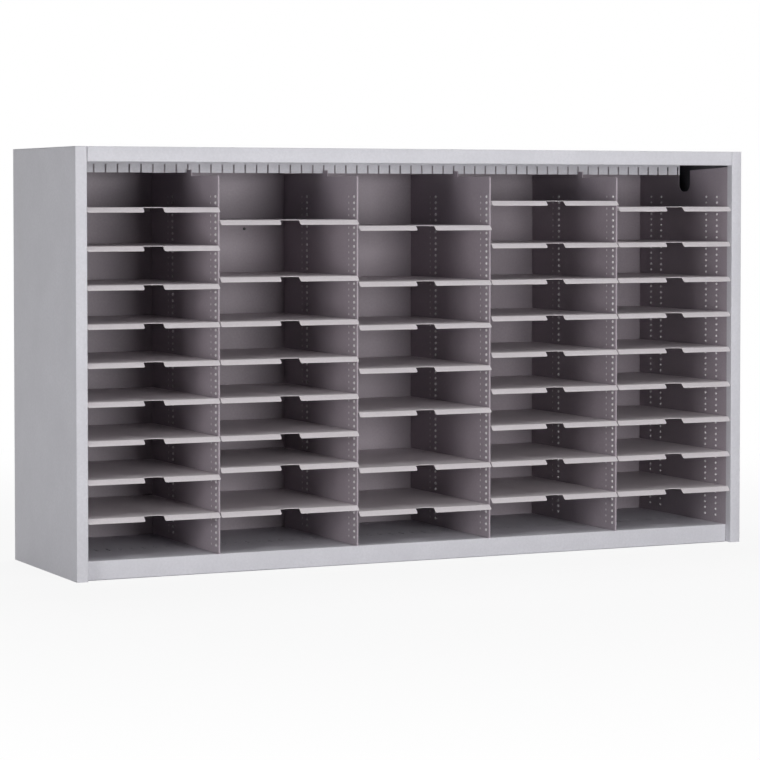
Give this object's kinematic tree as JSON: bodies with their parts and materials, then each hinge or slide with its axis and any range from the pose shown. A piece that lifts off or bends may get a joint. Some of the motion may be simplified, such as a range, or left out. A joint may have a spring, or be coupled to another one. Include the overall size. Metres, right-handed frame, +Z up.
{
  "type": "pigeonhole mail sorter",
  "caption": "Wide low painted-steel case whose upright dividers and draw-out sheet shelves with finger notches make open-fronted compartments for sorting mail.",
  "frame": {"origin": "on the floor under the middle of the case", "axes": "+X along the width to the viewer's right, -Y out of the open front, +Z up"},
  "size_m": [1.524, 0.391, 0.851],
  "materials": {
    "case_paint": "satin",
    "inner_paint": "satin",
    "shelf_paint": "satin"
  },
  "bodies": {
    "case": {"left_side_panel": "case_paint", "right_side_panel": "case_paint", "left_end_liner": "inner_paint", "right_end_liner": "inner_paint", "top_panel": "case_paint", "comb_rail": "shelf_paint", "base_panel": "case_paint", "back_panel": "inner_paint", "divider_1": "inner_paint", "divider_2": "inner_paint", "divider_3": "inner_paint", "divider_4": "inner_paint"},
    "bay_1_shelf_1": {"bay_1_shelf_1": "shelf_paint"},
    "bay_1_shelf_2": {"bay_1_shelf_2": "shelf_paint"},
    "bay_1_shelf_3": {"bay_1_shelf_3": "shelf_paint"},
    "bay_1_shelf_4": {"bay_1_shelf_4": "shelf_paint"},
    "bay_1_shelf_5": {"bay_1_shelf_5": "shelf_paint"},
    "bay_1_shelf_6": {"bay_1_shelf_6": "shelf_paint"},
    "bay_1_shelf_7": {"bay_1_shelf_7": "shelf_paint"},
    "bay_1_shelf_8": {"bay_1_shelf_8": "shelf_paint"},
    "bay_1_shelf_9": {"bay_1_shelf_9": "shelf_paint"},
    "bay_2_shelf_1": {"bay_2_shelf_1": "shelf_paint"},
    "bay_2_shelf_2": {"bay_2_shelf_2": "shelf_paint"},
    "bay_2_shelf_3": {"bay_2_shelf_3": "shelf_paint"},
    "bay_2_shelf_4": {"bay_2_shelf_4": "shelf_paint"},
    "bay_2_shelf_5": {"bay_2_shelf_5": "shelf_paint"},
    "bay_2_shelf_6": {"bay_2_shelf_6": "shelf_paint"},
    "bay_2_shelf_7": {"bay_2_shelf_7": "shelf_paint"},
    "bay_2_shelf_8": {"bay_2_shelf_8": "shelf_paint"},
    "bay_3_shelf_1": {"bay_3_shelf_1": "shelf_paint"},
    "bay_3_shelf_2": {"bay_3_shelf_2": "shelf_paint"},
    "bay_3_shelf_3": {"bay_3_shelf_3": "shelf_paint"},
    "bay_3_shelf_4": {"bay_3_shelf_4": "shelf_paint"},
    "bay_3_shelf_5": {"bay_3_shelf_5": "shelf_paint"},
    "bay_3_shelf_6": {"bay_3_shelf_6": "shelf_paint"},
    "bay_3_shelf_7": {"bay_3_shelf_7": "shelf_paint"},
    "bay_4_shelf_1": {"bay_4_shelf_1": "shelf_paint"},
    "bay_4_shelf_2": {"bay_4_shelf_2": "shelf_paint"},
    "bay_4_shelf_3": {"bay_4_shelf_3": "shelf_paint"},
    "bay_4_shelf_4": {"bay_4_shelf_4": "shelf_paint"},
    "bay_4_shelf_5": {"bay_4_shelf_5": "shelf_paint"},
    "bay_4_shelf_6": {"bay_4_shelf_6": "shelf_paint"},
    "bay_4_shelf_7": {"bay_4_shelf_7": "shelf_paint"},
    "bay_4_shelf_8": {"bay_4_shelf_8": "shelf_paint"},
    "bay_4_shelf_9": {"bay_4_shelf_9": "shelf_paint"},
    "bay_5_shelf_1": {"bay_5_shelf_1": "shelf_paint"},
    "bay_5_shelf_2": {"bay_5_shelf_2": "shelf_paint"},
    "bay_5_shelf_3": {"bay_5_shelf_3": "shelf_paint"},
    "bay_5_shelf_4": {"bay_5_shelf_4": "shelf_paint"},
    "bay_5_shelf_5": {"bay_5_shelf_5": "shelf_paint"},
    "bay_5_shelf_6": {"bay_5_shelf_6": "shelf_paint"},
    "bay_5_shelf_7": {"bay_5_shelf_7": "shelf_paint"},
    "bay_5_shelf_8": {"bay_5_shelf_8": "shelf_paint"},
    "bay_5_shelf_9": {"bay_5_shelf_9": "shelf_paint"}
  },
  "joints": [
    {"name": "bay_1_shelf_1_draw", "type": "slide", "parent": "case", "child": "bay_1_shelf_1", "axis": [0, -1, 0], "range_m": [0, 0.4]},
    {"name": "bay_1_shelf_2_draw", "type": "slide", "parent": "case", "child": "bay_1_shelf_2", "axis": [0, -1, 0], "range_m": [0, 0.4]},
    {"name": "bay_1_shelf_3_draw", "type": "slide", "parent": "case", "child": "bay_1_shelf_3", "axis": [0, -1, 0], "range_m": [0, 0.4]},
    {"name": "bay_1_shelf_4_draw", "type": "slide", "parent": "case", "child": "bay_1_shelf_4", "axis": [0, -1, 0], "range_m": [0, 0.4]},
    {"name": "bay_1_shelf_5_draw", "type": "slide", "parent": "case", "child": "bay_1_shelf_5", "axis": [0, -1, 0], "range_m": [0, 0.4]},
    {"name": "bay_1_shelf_6_draw", "type": "slide", "parent": "case", "child": "bay_1_shelf_6", "axis": [0, -1, 0], "range_m": [0, 0.4]},
    {"name": "bay_1_shelf_7_draw", "type": "slide", "parent": "case", "child": "bay_1_shelf_7", "axis": [0, -1, 0], "range_m": [0, 0.4]},
    {"name": "bay_1_shelf_8_draw", "type": "slide", "parent": "case", "child": "bay_1_shelf_8", "axis": [0, -1, 0], "range_m": [0, 0.4]},
    {"name": "bay_1_shelf_9_draw", "type": "slide", "parent": "case", "child": "bay_1_shelf_9", "axis": [0, -1, 0], "range_m": [0, 0.4]},
    {"name": "bay_2_shelf_1_draw", "type": "slide", "parent": "case", "child": "bay_2_shelf_1", "axis": [0, -1, 0], "range_m": [0, 0.4]},
    {"name": "bay_2_shelf_2_draw", "type": "slide", "parent": "case", "child": "bay_2_shelf_2", "axis": [0, -1, 0], "range_m": [0, 0.4]},
    {"name": "bay_2_shelf_3_draw", "type": "slide", "parent": "case", "child": "bay_2_shelf_3", "axis": [0, -1, 0], "range_m": [0, 0.4]},
    {"name": "bay_2_shelf_4_draw", "type": "slide", "parent": "case", "child": "bay_2_shelf_4", "axis": [0, -1, 0], "range_m": [0, 0.4]},
    {"name": "bay_2_shelf_5_draw", "type": "slide", "parent": "case", "child": "bay_2_shelf_5", "axis": [0, -1, 0], "range_m": [0, 0.4]},
    {"name": "bay_2_shelf_6_draw", "type": "slide", "parent": "case", "child": "bay_2_shelf_6", "axis": [0, -1, 0], "range_m": [0, 0.4]},
    {"name": "bay_2_shelf_7_draw", "type": "slide", "parent": "case", "child": "bay_2_shelf_7", "axis": [0, -1, 0], "range_m": [0, 0.4]},
    {"name": "bay_2_shelf_8_draw", "type": "slide", "parent": "case", "child": "bay_2_shelf_8", "axis": [0, -1, 0], "range_m": [0, 0.4]},
    {"name": "bay_3_shelf_1_draw", "type": "slide", "parent": "case", "child": "bay_3_shelf_1", "axis": [0, -1, 0], "range_m": [0, 0.4]},
    {"name": "bay_3_shelf_2_draw", "type": "slide", "parent": "case", "child": "bay_3_shelf_2", "axis": [0, -1, 0], "range_m": [0, 0.4]},
    {"name": "bay_3_shelf_3_draw", "type": "slide", "parent": "case", "child": "bay_3_shelf_3", "axis": [0, -1, 0], "range_m": [0, 0.4]},
    {"name": "bay_3_shelf_4_draw", "type": "slide", "parent": "case", "child": "bay_3_shelf_4", "axis": [0, -1, 0], "range_m": [0, 0.4]},
    {"name": "bay_3_shelf_5_draw", "type": "slide", "parent": "case", "child": "bay_3_shelf_5", "axis": [0, -1, 0], "range_m": [0, 0.4]},
    {"name": "bay_3_shelf_6_draw", "type": "slide", "parent": "case", "child": "bay_3_shelf_6", "axis": [0, -1, 0], "range_m": [0, 0.4]},
    {"name": "bay_3_shelf_7_draw", "type": "slide", "parent": "case", "child": "bay_3_shelf_7", "axis": [0, -1, 0], "range_m": [0, 0.4]},
    {"name": "bay_4_shelf_1_draw", "type": "slide", "parent": "case", "child": "bay_4_shelf_1", "axis": [0, -1, 0], "range_m": [0, 0.4]},
    {"name": "bay_4_shelf_2_draw", "type": "slide", "parent": "case", "child": "bay_4_shelf_2", "axis": [0, -1, 0], "range_m": [0, 0.4]},
    {"name": "bay_4_shelf_3_draw", "type": "slide", "parent": "case", "child": "bay_4_shelf_3", "axis": [0, -1, 0], "range_m": [0, 0.4]},
    {"name": "bay_4_shelf_4_draw", "type": "slide", "parent": "case", "child": "bay_4_shelf_4", "axis": [0, -1, 0], "range_m": [0, 0.4]},
    {"name": "bay_4_shelf_5_draw", "type": "slide", "parent": "case", "child": "bay_4_shelf_5", "axis": [0, -1, 0], "range_m": [0, 0.4]},
    {"name": "bay_4_shelf_6_draw", "type": "slide", "parent": "case", "child": "bay_4_shelf_6", "axis": [0, -1, 0], "range_m": [0, 0.4]},
    {"name": "bay_4_shelf_7_draw", "type": "slide", "parent": "case", "child": "bay_4_shelf_7", "axis": [0, -1, 0], "range_m": [0, 0.4]},
    {"name": "bay_4_shelf_8_draw", "type": "slide", "parent": "case", "child": "bay_4_shelf_8", "axis": [0, -1, 0], "range_m": [0, 0.4]},
    {"name": "bay_4_shelf_9_draw", "type": "slide", "parent": "case", "child": "bay_4_shelf_9", "axis": [0, -1, 0], "range_m": [0, 0.4]},
    {"name": "bay_5_shelf_1_draw", "type": "slide", "parent": "case", "child": "bay_5_shelf_1", "axis": [0, -1, 0], "range_m": [0, 0.4]},
    {"name": "bay_5_shelf_2_draw", "type": "slide", "parent": "case", "child": "bay_5_shelf_2", "axis": [0, -1, 0], "range_m": [0, 0.4]},
    {"name": "bay_5_shelf_3_draw", "type": "slide", "parent": "case", "child": "bay_5_shelf_3", "axis": [0, -1, 0], "range_m": [0, 0.4]},
    {"name": "bay_5_shelf_4_draw", "type": "slide", "parent": "case", "child": "bay_5_shelf_4", "axis": [0, -1, 0], "range_m": [0, 0.4]},
    {"name": "bay_5_shelf_5_draw", "type": "slide", "parent": "case", "child": "bay_5_shelf_5", "axis": [0, -1, 0], "range_m": [0, 0.4]},
    {"name": "bay_5_shelf_6_draw", "type": "slide", "parent": "case", "child": "bay_5_shelf_6", "axis": [0, -1, 0], "range_m": [0, 0.4]},
    {"name": "bay_5_shelf_7_draw", "type": "slide", "parent": "case", "child": "bay_5_shelf_7", "axis": [0, -1, 0], "range_m": [0, 0.4]},
    {"name": "bay_5_shelf_8_draw", "type": "slide", "parent": "case", "child": "bay_5_shelf_8", "axis": [0, -1, 0], "range_m": [0, 0.4]},
    {"name": "bay_5_shelf_9_draw", "type": "slide", "parent": "case", "child": "bay_5_shelf_9", "axis": [0, -1, 0], "range_m": [0, 0.4]}
  ]
}
